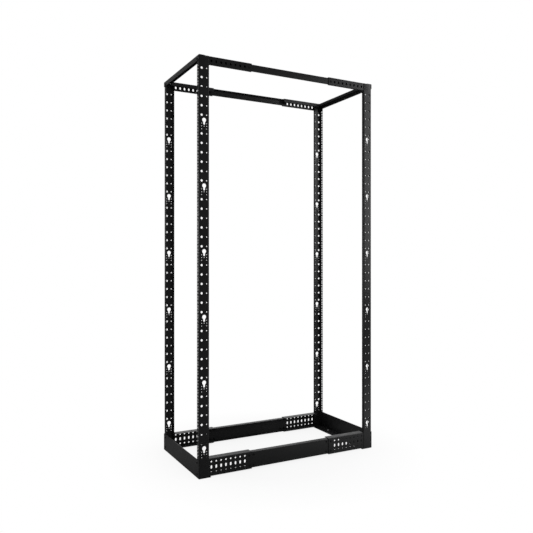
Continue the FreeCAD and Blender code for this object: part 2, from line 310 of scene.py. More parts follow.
class GeometryTree(NodeTree):
    """A Geometry Nodes tree with named inputs for its sizes."""

    KINDS = {
        float: "NodeSocketFloat",
        int: "NodeSocketInt",
        tuple: "NodeSocketVector",
        bpy.types.Object: "NodeSocketObject",
    }

    def __init__(self, name: str) -> None:
        """Makes an empty modifier tree with a geometry input and output.

        Args:
            name: the tree's name.
        """
        super().__init__(bpy.data.node_groups.new(name, "GeometryNodeTree"))
        self.tree.is_modifier = True
        for way in ("INPUT", "OUTPUT"):
            self.tree.interface.new_socket("Geometry", in_out=way, socket_type="NodeSocketGeometry")
        self.source = self.add("NodeGroupInput")
        self.given: dict[str, object] = {}

    def start(self) -> Value:
        """The geometry that the tree starts from."""
        return self.source.out("Geometry")

    def size(self, name: str, value: float | int | tuple | bpy.types.Object) -> Value:
        """Adds a named input.

        Args:
            name: the input's name.
            value: what the modifier gives it.

        Returns:
            The input as seen inside the tree.
        """
        kind = self.KINDS[type(value)]
        made = self.tree.interface.new_socket(name, in_out="INPUT", socket_type=kind)
        self.given[made.identifier] = value
        outputs = self.source.node.outputs
        return Value(self, next(s for s in outputs if s.identifier == made.identifier))

    def join(self, *parts: Value) -> Value:
        """Several geometries as one."""
        return self.add("GeometryNodeJoinGeometry", {}, {0: list(parts)}).out()

    def instances(self, points: Value, shape: Value, turn: Value | Triple = UNTURNED) -> Value:
        """A shape at each point, turned where a rotation is given."""
        inputs = {"Points": points, "Instance": shape, "Rotation": turn}
        return self.add("GeometryNodeInstanceOnPoints", {}, inputs).out()

    def finish(self, geometry: Value, material: bpy.types.Material) -> None:
        """Ends the tree with real geometry in one material.

        Args:
            geometry: what the tree has made.
            material: its finish.
        """
        real = self.add("GeometryNodeRealizeInstances", {}, {0: geometry}).out()
        inputs = {"Geometry": real, "Material": material}
        dressed = self.add("GeometryNodeSetMaterial", {}, inputs).out()
        self.add("NodeGroupOutput", {}, {0: dressed})

    def run(self, mesh: bpy.types.Mesh) -> bpy.types.Mesh:
        """Runs the tree once.

        Args:
            mesh: the mesh that the tree starts from.

        Returns:
            The result as a plain mesh.
        """
        carrier = in_scene("carrier", mesh)
        modifier = carrier.modifiers.new("tree", "NODES")
        modifier.node_group = self.tree
        for identifier, value in self.given.items():
            modifier[identifier] = value
        return plain_mesh(carrier)


# ---------------- punched holes


class Outline(Enum):
    """Form of a punched hole."""

    ROUND = "round"
    SQUARE = "square"
    SLOT = "slot"
    KEYHOLE = "keyhole"


@dataclass(frozen=True)
class Repeat:
    """Copies at even steps.

    Args:
        count: how many there are.
        across: step across the sheet, in millimetres.
        along: step along the sheet, in millimetres.
    """

    count: int
    across: float = 0.0
    along: float = 0.0


@dataclass(frozen=True)
class Holes:
    """Like holes in one flat panel of a sheet, in millimetres.

    Args:
        name: what a maker calls them.
        outline: their form.
        width: size across the sheet, or the diameter.
        across: the first hole's centre, from the panel's first fold line.
        along: the first hole's centre, from the row frame's origin.
        repeats: how the first hole is repeated, level by level.
        height: size along the sheet; for a keyhole, the width of its slot.
        drop: for a keyhole, from the head's centre to the foot of its slot.
        sides: corners of the outline's round part.
        slot_ease: for a slot, the radius of its corners as a share of its width, where they fit.
        ease_steps: steps in each of those corners.
    """

    name: str
    outline: Outline
    width: float
    across: float
    along: float
    repeats: tuple[Repeat, ...] = ()
    height: float = 0.0
    drop: float = 0.0
    sides: int = 16
    slot_ease: float = 0.47
    ease_steps: int = 4

    def curve(self, tree: GeometryTree) -> Value:
        """Draws one hole.

        Args:
            tree: where the nodes go.

        Returns:
            The hole's outline about its centre.
        """
        width = tree.size(f"{self.name} width", self.width * MM)
        if self.outline is Outline.ROUND:
            circle = {"Radius": width * 0.5, "Resolution": self.sides}
            return tree.add("GeometryNodeCurvePrimitiveCircle", {}, circle).out()
        height = tree.size(f"{self.name} height", self.height * MM)
        if self.outline is Outline.KEYHOLE:
            return self.keyhole_curve(tree, width, height)
        sides = {"Width": width, "Height": height}
        box = tree.add("GeometryNodeCurvePrimitiveQuadrilateral", {}, sides).out()
        if self.outline is Outline.SQUARE:
            return box
        radius = width * self.slot_ease
        ease = {"Curve": box, "Count": self.ease_steps, "Radius": radius, "Limit Radius": True}
        return tree.add("GeometryNodeFilletCurve", {"mode": "POLY"}, ease).out()

    def keyhole_curve(self, tree: GeometryTree, head: Value, slot: Value) -> Value:
        """Draws a round head that opens into a slot with a round foot.

        Args:
            tree: where the nodes go.
            head: diameter of the head.
            slot: width of the slot.

        Returns:
            The closed outline.
        """
        drop = tree.size(f"{self.name} drop", self.drop * MM)
        neck = tree.maths("ARCSINE", slot / head)
        names = ("Resolution", "Radius", "Start Angle", "Sweep Angle")
        around = (self.sides, head * 0.5, neck - math.pi / 2, math.tau - neck * 2.0)
        below = (self.sides // 2, slot * 0.5, math.pi, math.pi)
        top, foot = (
            tree.add("GeometryNodeCurveArc", {"mode": "RADIUS"}, dict(zip(names, arc))).out("Curve")
            for arc in (around, below)
        )
        place = tree.add("ShaderNodeCombineXYZ", {}, {"Y": slot * 0.5 - drop}).out()
        lowered = {"Geometry": foot, "Translation": place}
        foot = tree.add("GeometryNodeTransform", {}, lowered).out()
        both = {"Curve": tree.join(top, foot)}
        points = tree.add("GeometryNodeCurveToPoints", {"mode": "EVALUATED"}, both).out()
        line = tree.add("GeometryNodePointsToCurves", {}, {"Points": points}).out()
        closed = {"Geometry": line, "Cyclic": True}
        return tree.add("GeometryNodeSetSplineCyclic", {}, closed).out()

    def pattern(self, tree: GeometryTree) -> Value:
        """Repeats the first hole, level by level.

        Args:
            tree: where the nodes go.

        Returns:
            All of the holes, as instances of the first one.
        """
        first = tree.size(f"{self.name} place", (self.across * MM, self.along * MM, 0.0))
        placed = {"Geometry": self.curve(tree), "Translation": first}
        shape = tree.add("GeometryNodeTransform", {}, placed).out()
        for level, repeat in enumerate(self.repeats, start=1):
            step = (repeat.across * MM, repeat.along * MM, 0.0)
            inputs = {
                "Count": tree.size(f"{self.name} count {level}", repeat.count),
                "Offset": tree.size(f"{self.name} step {level}", step),
            }
            line = tree.add("GeometryNodeMeshLine", {"mode": "OFFSET"}, inputs).out()
            shape = tree.instances(line, shape)
        return shape


# ---------------- folded sheet


class Run(Enum):
    """The way a folded sheet runs, as the axes of its section's two sizes and of its length."""

    UP = (0, 1, 2)
    REARWARD = (0, 2, 1)
    ACROSS = (1, 2, 0)

    def point(self, section: Pair, along: float) -> Vector:
        """A point in metres, from a section point and a place along, in millimetres."""
        sizes = dict(zip(self.value, (*section, along)))
        return Vector([sizes[axis] * MM for axis in range(3)])

    def direction(self, section: Pair, along: float = 0.0) -> Vector:
        """A unit direction of the row frame."""
        return self.point(section, along).normalized()

    def turned_over(self) -> bool:
        """Whether a face drawn along the section and then the run points inwards."""
        return self is Run.REARWARD


@dataclass(frozen=True)
class Sheet:
    """A sheet folded along parallel lines, each fold a right angle, in millimetres.

    Args:
        run: the way that the folds run.
        corners: outer corners of the section, walked with the outside on the right hand.
        spans: where each panel starts and ends along the run.
        thickness: thickness of the sheet.
        holes: the punched holes of each panel.
        fold: outer radius of a fold.
        fold_steps: flat steps in the round of a fold.
        edge_break: width of the small chamfer on each sharp edge.
    """

    run: Run
    corners: tuple[Pair, ...]
    spans: tuple[Pair, ...]
    thickness: float
    holes: tuple[tuple[Holes, ...], ...]
    fold: float = 2.6
    fold_steps: int = 5
    edge_break: float = 0.3

    def width(self, index: int) -> float:
        """Width of one panel between the corners of the section."""
        return math.dist(*self.corners[index:index + 2])

    def heading(self, index: int) -> Pair:
        """Unit direction of one panel in the section."""
        start, end = self.corners[index:index + 2]
        return tuple((b - a) / self.width(index) for a, b in zip(start, end))

    def fold_span(self, index: int) -> Pair:
        """Where the fold after a panel starts and ends along the run."""
        here, after = self.spans[index], self.spans[index + 1]
        return (max(here[0], after[0]), min(here[1], after[1]))

    def panel_ring(self, index: int) -> list[Pair]:
        """Outlines one flat panel, which reaches its full size beside a narrower fold.

        Args:
            index: the panel's place in the section.

        Returns:
            The outline's points, across the panel and along the run.
        """
        low, high = self.spans[index]
        ring = []
        for fold, full, inward in ((index, self.width(index), -1), (index - 1, 0.0, 1)):
            folded = 0 <= fold < len(self.spans) - 1
            line = full + inward * self.fold if folded else full
            start, end = self.fold_span(fold) if folded else (low, high)
            along_fold = [(line, start), (line, end)]
            before = [(full, low), (full, start)] if start > low else []
            after = [(full, end), (full, high)] if end < high else []
            ring += (before + along_fold + after)[::-inward]
        return ring

    def panel(self, index: int, material: bpy.types.Material) -> bpy.types.Mesh:
        """Makes one flat panel with its holes.

        Args:
            index: the panel's place in the section.
            material: its finish.

        Returns:
            The panel in its own plane.
        """
        ring = self.panel_ring(index)
        outline = bpy.data.meshes.new("outline")
        edges = [(i, (i + 1) % len(ring)) for i in range(len(ring))]
        outline.from_pydata([(s * MM, t * MM, 0.0) for s, t in ring], edges, [])
        tree = GeometryTree("punched panel")
        curves = [tree.add("GeometryNodeMeshToCurve", {}, {0: tree.start()}).out()]
        curves += [holes.pattern(tree) for holes in self.holes[index]]
        real = tree.add("GeometryNodeRealizeInstances", {}, {0: tree.join(*curves)}).out()
        filled = tree.add("GeometryNodeFillCurve", {"mode": "NGONS"}, {"Curve": real}).out()
        tree.finish(filled, material)
        return tree.run(outline)

    def build(self, material: bpy.types.Material) -> bpy.types.Mesh:
        """Makes the folded sheet.

        Args:
            material: its finish.

        Returns:
            One closed mesh, in place in the row frame, with faces outwards.
        """
        skin = bmesh.new()
        along = self.run.direction((0.0, 0.0), 1.0)
        for index, corner in enumerate(self.corners[:-1]):
            flat = self.panel(index, material)
            ahead = self.run.direction(self.heading(index))
            turn = Matrix((ahead, along, ahead.cross(along))).transposed().to_4x4()
            flat.transform(Matrix.Translation(self.run.point(corner, 0.0)) @ turn)
            skin.from_mesh(flat)
            bpy.data.meshes.remove(flat)
        for index in range(len(self.spans) - 1):
            self.add_fold(skin, index)
        bmesh.ops.remove_doubles(skin, verts=skin.verts, dist=WELD_DISTANCE)
        if self.run.turned_over():
            bmesh.ops.reverse_faces(skin, faces=skin.faces)
        mesh = bpy.data.meshes.new("folded sheet")
        skin.to_mesh(mesh)
        skin.free()
        mesh.materials.append(material)
        return self.thickened(mesh)

    def add_fold(self, skin: bmesh.types.BMesh, index: int) -> None:
        """Adds the round of a fold.

        Args:
            skin: the sheet's outer skin.
            index: the panel that the fold comes after.
        """
        first, second = self.heading(index), self.heading(index + 1)
        out0, out1 = (first[1], -first[0]), (second[1], -second[0])
        corner = self.corners[index + 1]
        centre = [c - self.fold * (p + q) for c, p, q in zip(corner, out0, out1)]
        rows = []
        for step in range(self.fold_steps + 1):
            turn = math.pi / 2 * step / self.fold_steps
            place = [
                c + self.fold * (p * math.cos(turn) + q * math.sin(turn))
                for c, p, q in zip(centre, out0, out1)
            ]
            rows.append([skin.verts.new(self.run.point(place, t)) for t in self.fold_span(index)])
        for here, after in zip(rows, rows[1:]):
            skin.faces.new((here[0], after[0], after[1], here[1]))

    def thickened(self, skin: bpy.types.Mesh) -> bpy.types.Mesh:
        """Gives the skin its wall, inwards from its faces, and breaks the sharp edges.

        Args:
            skin: the sheet's outer skin.

        Returns:
            A closed mesh.
        """
        carrier = in_scene("carrier", skin)
        wall = carrier.modifiers.new("wall", "SOLIDIFY")
        wall.thickness = self.thickness * MM
        wall.offset = -1.0
        wall.use_even_offset = True
        chamfer = carrier.modifiers.new("chamfer", "BEVEL")
        chamfer.width = self.edge_break * MM
        chamfer.segments = 1
        chamfer.limit_method = "ANGLE"
        chamfer.angle_limit = math.radians(CHAMFERED_FROM)
        return shaded(plain_mesh(carrier), SHEET_SHARP_FROM)


# ---------------- finishes


@dataclass(frozen=True)
class Finish:
    """A dark finish on steel, laid out on object coordinates.

    Args:
        name: the material's name.
        colour: base colour, linear.
        shades: its darkest and its lightest shade, as shares of the colour.
        roughness: mean roughness.
        roughness_limits: least and most roughness.
        specular: level of the plain reflection.
    """

    name: str
    colour: Triple
    shades: Pair
    roughness: float
    roughness_limits: Pair
    specular: float

    def material(self) -> bpy.types.Material:
        """Makes the finish.

        Returns:
            Its material.
        """
        made = bpy.data.materials.new(self.name)
        tree = NodeTree.of(made)
        place = tree.add("ShaderNodeTexCoord").out("Object")
        shader = tree.add("ShaderNodeBsdfPrincipled", {}, self.surface(tree, place)).out()
        tree.add("ShaderNodeOutputMaterial", {}, {"Surface": shader})
        return made

    def surface(self, tree: NodeTree, place: Value) -> dict[str, object]:
        """What the shader's sockets take, which each finish works out from object coordinates."""
        raise NotImplementedError

    def tone(self, tree: NodeTree, factor: Value) -> Value:
        """Mixes the colour.

        Args:
            tree: where the node goes.
            factor: 0 for the darkest shade and 1 for the lightest.

        Returns:
            The mixed colour.
        """
        dark, light = ((*(c * share for c in self.colour), 1.0) for share in self.shades)
        inputs = {MIX_FACTOR: factor, MIX_FIRST: dark, MIX_SECOND: light}
        return tree.add("ShaderNodeMix", {"data_type": "RGBA"}, inputs).out(MIX_RESULT)

    @staticmethod
    def noise(tree: NodeTree, place: Value, pattern: Pair) -> Value:
        """Noise over the piece, from its scale and its detail."""
        inputs = {"Vector": place, "Scale": pattern[0], "Detail": pattern[1]}
        return tree.add("ShaderNodeTexNoise", {}, inputs).out()


@dataclass(frozen=True)
class PowderCoat(Finish):
    """Fine textured semigloss powder coat, with dust where a face lies level.

    Args:
        ior: refractive index of the coat.
        grain: scale and detail of the coat's fine texture.
        relief: height of that texture, in metres.
        peel: scale and detail of the coat's orange peel.
        peel_relief: height of the orange peel, in metres.
        bump: strength of both reliefs.
        cloud: scale and detail of the coat's slow changes.
        handling: scale and detail of the marks of handling.
        dust_from: how level a face is, up to 1, where dust begins to lie.
        tone_middle: the mean colour's place from the darkest shade, 0, to the lightest, 1.
        tone_shares: how far the cloud, the texture and the dust change the colour.
        roughness_shares: how far the cloud, the handling and the dust change the roughness.

    The first six fields are those of every finish.
    """

    name: str = "black powder coat"
    colour: Triple = (0.0095, 0.0095, 0.0099)
    shades: Pair = (0.8, 1.35)
    roughness: float = 0.35
    roughness_limits: Pair = (0.2, 0.8)
    specular: float = 0.4
    ior: float = 1.45
    grain: Pair = (1.0 / 0.0011, 2.0)
    relief: float = 0.00003
    peel: Pair = (180.0, 1.0)
    peel_relief: float = 0.00006
    bump: float = 0.35
    cloud: Pair = (7.0, 3.0)
    handling: Pair = (38.0, 4.0)
    dust_from: float = 0.6
    tone_middle: float = 0.5
    tone_shares: Triple = (0.5, 0.25, 0.5)
    roughness_shares: Triple = (0.12, 0.1, 0.15)

    def material(self) -> bpy.types.Material:
        """Makes the coat, which shows its colour in plain views too.

        Returns:
            Its material.
        """
        made = super().material()
        made.diffuse_color = (*self.colour, 1.0)
        return made

    def surface(self, tree: NodeTree, place: Value) -> dict[str, object]:
        """Works out the coat's look.

        Args:
            tree: where the nodes go.
            place: object coordinates.

        Returns:
            What the shader's sockets take.
        """
        fine, peel, cloud, handled = (
            self.noise(tree, place, pattern)
            for pattern in (self.grain, self.peel, self.cloud, self.handling)
        )
        normal = tree.add("ShaderNodeNewGeometry").out("Normal")
        level = tree.add("ShaderNodeSeparateXYZ", {}, {0: normal}).out("Z")
        room = 1.0 - self.dust_from
        dust = (level - self.dust_from).clamp(0.0, room) * (1.0 / room) * handled
        drift, texture, wear = (value - NOISE_MIDDLE for value in (cloud, fine, handled))
        by_drift, by_texture, by_dust = self.tone_shares
        factor = drift * by_drift + texture * by_texture + dust * by_dust + self.tone_middle
        by_drift, by_wear, by_dust = self.roughness_shares
        rough = drift * by_drift + wear * by_wear + dust * by_dust + self.roughness
        height = fine * self.relief + peel * self.peel_relief
        bump = {"Height": height, "Strength": self.bump, "Distance": 1.0}
        return {
            "Base Color": self.tone(tree, factor.clamp()),
            "Roughness": rough.clamp(*self.roughness_limits),
            "Normal": tree.add("ShaderNodeBump", {}, bump).out(),
            "IOR": self.ior,
            "Specular IOR Level": self.specular,
        }


@dataclass(frozen=True)
class BlackOxide(Finish):
    """Oiled black oxide on a steel fastener.

    Args:
        oil: scale and detail of the oil's film.
        oil_share: how far the film changes the roughness.

    The first six fields are those of every finish.
    """

    name: str = "black oxide steel"
    colour: Triple = (0.006, 0.006, 0.0064)
    shades: Pair = (0.7, 1.6)
    roughness: float = 0.5
    roughness_limits: Pair = (0.15, 0.7)
    specular: float = 0.2
    oil: Pair = (300.0, 3.0)
    oil_share: float = 0.3

    def surface(self, tree: NodeTree, place: Value) -> dict[str, object]:
        """Works out the fastener's look.

        Args:
            tree: where the nodes go.
            place: object coordinates.

        Returns:
            What the shader's sockets take.
        """
        oil = self.noise(tree, place, self.oil)
        rough = (oil - NOISE_MIDDLE) * self.oil_share + self.roughness
        return {
            "Base Color": self.tone(tree, oil),
            "Roughness": rough.clamp(*self.roughness_limits),
            "Specular IOR Level": self.specular,
        }


# ---------------- fasteners


class Form(Enum):
    """Form of one ring of a turned or milled shape."""

    ROUND = "round"
    HEXAGON = "hexagon"


@dataclass(frozen=True)
class Fastener:
    """A shape built ring by ring from its seat, in millimetres.

    Args:
        rings: form, radius or half the width across flats, and height of each ring.
        sides: corners of a ring.
    """

    rings: tuple[tuple[Form, float, float], ...]
    sides: int = 24

    def ring(self, form: Form, size: float, height: float) -> list[Vector]:
        """Lays out one ring.

        Args:
            form: its form.
            size: its radius, or half its width across flats.
            height: its height over the seat.

        Returns:
            Its points, in metres.
        """
        points = []
        for side in range(self.sides):
            angle = math.tau * side / self.sides
            reach = size
            if form is Form.HEXAGON:
                reach = size / math.cos(angle % (math.pi / 3) - math.pi / 6)
            points.append(Vector((reach * math.cos(angle), reach * math.sin(angle), height)) * MM)
        return points

    def mesh(self) -> bpy.types.Mesh:
        """Builds the fastener.

        Returns:
            The closed shape, standing on its seat and pointing up.
        """
        made = bmesh.new()
        loops = [[made.verts.new(p) for p in self.ring(*ring)] for ring in self.rings]
        for low, high in zip(loops, loops[1:]):
            for i in range(self.sides):
                j = (i + 1) % self.sides
                made.faces.new((low[i], low[j], high[j], high[i]))
        made.faces.new(list(reversed(loops[0])))
        made.faces.new(loops[-1])
        result = bpy.data.meshes.new("fastener")
        made.to_mesh(result)
        made.free()
        return shaded(result, FASTENER_SHARP_FROM)


BUTTON_HEAD = Fastener((
    (Form.ROUND, 6.0, 0.0),
    (Form.ROUND, 5.95, 0.5),
    (Form.ROUND, 5.4, 1.3),
    (Form.ROUND, 4.4, 2.0),
    (Form.ROUND, 3.0, 2.5),
    (Form.HEXAGON, 2.0, 2.5),
    (Form.HEXAGON, 2.0, 0.9),
))
FLANGE_NUT = Fastener((
    (Form.ROUND, 6.6, 0.0),
    (Form.ROUND, 6.6, 0.7),
    (Form.ROUND, 5.8, 1.2),
    (Form.HEXAGON, 4.9, 1.5),
    (Form.HEXAGON, 4.9, 4.7),
    (Form.ROUND, 4.7, 5.2),
    (Form.ROUND, 2.9, 5.2),
    (Form.ROUND, 2.9, 6.4),
    (Form.ROUND, 2.5, 6.8),
))


@dataclass(frozen=True)
class Bolt:
    """A bolt at the front right corner of the rack, in millimetres.

    Args:
        place: where its head sits.
        axis: the way that its head points.
        grip: what it clamps.
    """

    place: Triple
    axis: Triple
    grip: float

    def at_corner(self, signs: tuple[int, int]) -> "Bolt":
        """Mirrors the bolt.

        Args:
            signs: 1 or -1 for the mirror across the rack and from front to rear.

        Returns:
            The same bolt at another corner.
        """
        flip = (*signs, 1)
        sides = (tuple(c * f for c, f in zip(way, flip)) for way in (self.place, self.axis))
        return Bolt(*sides, self.grip)

    def nut(self) -> "Bolt":
        """Where its nut sits, and the way that the nut points."""
        place = tuple(c - a * self.grip for c, a in zip(self.place, self.axis))
        return Bolt(place, tuple(-a for a in self.axis), self.grip)


def fastener_set(name: str, shape: Fastener, seats: list[Bolt], finish: bpy.types.Material) -> None:
    """Sets a fastener on each seat.

    Args:
        name: the piece's name.
        shape: the fastener.
        seats: where each one sits and points.
        finish: its material.
    """
    points = bpy.data.meshes.new("seats")
    points.from_pydata([Vector(seat.place) * MM for seat in seats], [], [])
    axes = points.attributes.new("axis", "FLOAT_VECTOR", "POINT")
    axes.data.foreach_set("vector", [c for seat in seats for c in seat.axis])
    model = bpy.data.objects.new("model", shape.mesh())
    tree = GeometryTree(name)
    solid = tree.add("GeometryNodeObjectInfo", {}, {"Object": tree.size("fastener", model)})
    kind = {"data_type": "FLOAT_VECTOR"}
    axis = tree.add("GeometryNodeInputNamedAttribute", kind, {"Name": "axis"})
    turned = {"Vector": axis.out("Attribute")}
    turn = tree.add("FunctionNodeAlignRotationToVector", {"axis": "Z"}, turned).out()
    tree.finish(tree.instances(tree.start(), solid.out("Geometry"), turn), finish)
    mesh = tree.run(points)
    bpy.data.objects.remove(model)
    place_piece(name, mesh)


# ---------------- the rack


def box_of(node: str) -> Box:
    """Lowest and highest corner of a CAD node, in millimetres."""
    low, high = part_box(node)
    return low / MM, high / MM


@dataclass(frozen=True)
class UnitGrid:
    """The 19 inch standard's rack units, in millimetres.

    Args:
        units: how many there are.
        pitch: height of a unit.
        floor_room: floor to the first unit.
        first_hole: lower edge of a unit to its first square hole.
        hole_step: from one square hole of a unit to the next.
        holes: square holes in a unit.
        square: side of a square hole.
        hole_inset: inner edge of a mounting flange to its square holes.
        keyhole_units: units from one keyhole to the next.
    """

    units: int = 42
    pitch: float = 44.45
    floor_room: float = 99.5
    first_hole: float = 6.35
    hole_step: float = 15.875
    holes: int = 3
    square: float = 9.5
    hole_inset: float = 7.125
    keyhole_units: int = 7

    def middle(self, unit: int) -> float:
        """Height of the middle of a unit, counted from 0."""
        return self.floor_room + self.pitch * (unit + 0.5)


@dataclass
class Posts:
    """The four punched posts, in millimetres.

    Args:
        coat: their finish.
        grid: the rack units.
        thickness: thickness of the sheet.
        return_flange: flange at the inner edge of a side web.
        large_column: mounting face to the large side holes.
        small_column: mounting face to the small side holes.
        large_hole: diameter of a large side hole.
        small_hole: diameter of a small side hole.
        pin_hole: diameter of a pin hole.
        pin_rows: name of each row of pin holes, its rise from the middle of the keyhole's unit,
            and how many holes it has.
        keyhole_head: diameter of a keyhole's head.
        keyhole_slot: width of its slot.
        keyhole_drop: middle of its head to the foot of its slot.
        keyhole_rise: middle of its unit to the middle of its head.
    """

    coat: bpy.types.Material
    grid: UnitGrid
    thickness: float = 2.5
    return_flange: float = 16.0
    large_column: float = 12.7
    small_column: float = 38.1
    large_hole: float = 11.2
    small_hole: float = 5.6
    pin_hole: float = 3.8
    pin_rows: tuple[tuple[str, float, int], ...] = (
        ("upper pin hole", 4.7, 2),
        ("middle pin hole", -8.5, 3),
        ("lower pin hole", -21.5, 2),
    )
    keyhole_head: float = 20.5
    keyhole_slot: float = 9.5
    keyhole_drop: float = 22.5
    keyhole_rise: float = 20.9

    def unit_holes(self) -> tuple[Holes, ...]:
        """Lays out the mounting flange.

        Returns:
            Its three square holes in each unit.
        """
        grid = self.grid
        first = grid.floor_room + grid.first_hole
        unit = Repeat(grid.holes, along=grid.hole_step)
        repeats = (unit, Repeat(grid.units, along=grid.pitch))
        square, inset = grid.square, grid.hole_inset
        return (Holes("unit hole", Outline.SQUARE, square, inset, first, repeats, height=square),)

    def side_holes(self) -> tuple[Holes, ...]:
        """Lays out the side web.

        Returns:
            Its keyholes with their pin holes, and the large and small holes between them.
        """
        grid, near, far = self.grid, self.large_column, self.small_column
        group = Repeat(grid.units // grid.keyhole_units, along=grid.pitch * grid.keyhole_units)
        rows = Repeat(grid.keyhole_units - 1, along=grid.pitch)
        keyhole_row, next_row = grid.middle(0), grid.middle(1)
        made = [
            Holes(
                "keyhole", Outline.KEYHOLE, self.keyhole_head,
                (near + far) / 2, keyhole_row + self.keyhole_rise, (group,),
                height=self.keyhole_slot, drop=self.keyhole_drop, sides=24,
            ),
        ]
        for name, hole, column, sides in (
            ("large hole", self.large_hole, near, 20),
            ("small hole", self.small_hole, far, 16),
        ):
            levels = (rows, group)
            made.append(Holes(name, Outline.ROUND, hole, column, next_row, levels, sides=sides))
        for name, rise, count in self.pin_rows:
            levels = (Repeat(count, across=(far - near) / (count - 1)), group)
            place = (near, keyhole_row + rise)
            made.append(Holes(name, Outline.ROUND, self.pin_hole, *place, levels, sides=10))
        return tuple(made)

    def build(self) -> None:
        """Makes the four posts."""
        low, high = box_of("post_front_right")
        inner = high.x - self.return_flange
        sheet = Sheet(
            Run.UP,
            ((low.x, low.y), (high.x, low.y), (high.x, high.y), (inner, high.y)),
            ((low.z, high.z),) * 3,
            self.thickness,
            (self.unit_holes(), self.side_holes(), ()),
        )
        four_corners("post", sheet.build(self.coat))


@dataclass(frozen=True)
class Section:
    """A rail's section, in millimetres.

    Args:
        lip: depth of a sleeve's lower flange.
        lower_leg: upturned leg at the inner edge of that flange, or none.
        upper_leg: leg that hangs from the inner edge of the top flange, or none.
    """

    lip: float
    lower_leg: float = 0.0
    upper_leg: float = 0.0

    def sleeve(self, box: Box) -> tuple[Pair, ...]:
        """Walks round a sleeve's section.

        Args:
            box: the sleeve's box.

        Returns:
            The section's corners, from the lower inner edge round to the upper one.
        """
        low, high = box
        lip = high.x - self.lip
        corners = [(lip, low.z), (high.x, low.z), (high.x, high.z), (low.x, high.z)]
        if self.lower_leg:
            corners.insert(0, (lip, low.z + self.lower_leg))
        if self.upper_leg:
            corners.append((low.x, high.z - self.upper_leg))
        return tuple(corners)

    def channel(self, box: Box, nest: float) -> tuple[Pair, ...]:
        """Walks round the section of the channel in a sleeve.

        Args:
            box: the channel's box.
            nest: from the outside of the sleeve to the outside of the channel.

        Returns:
            The section's corners, from the lower inner edge round to the upper one.
        """
        low, high = box
        inner = high.x + nest - self.lip + (nest if self.lower_leg else 0.0)
        return ((inner, low.z), (high.x, low.z), (high.x, high.z), (low.x, high.z))


class Level(Enum):
    """Level of a pair of rails, as the CAD nodes' names begin."""

    BASE = "base"
    TOP = "top"


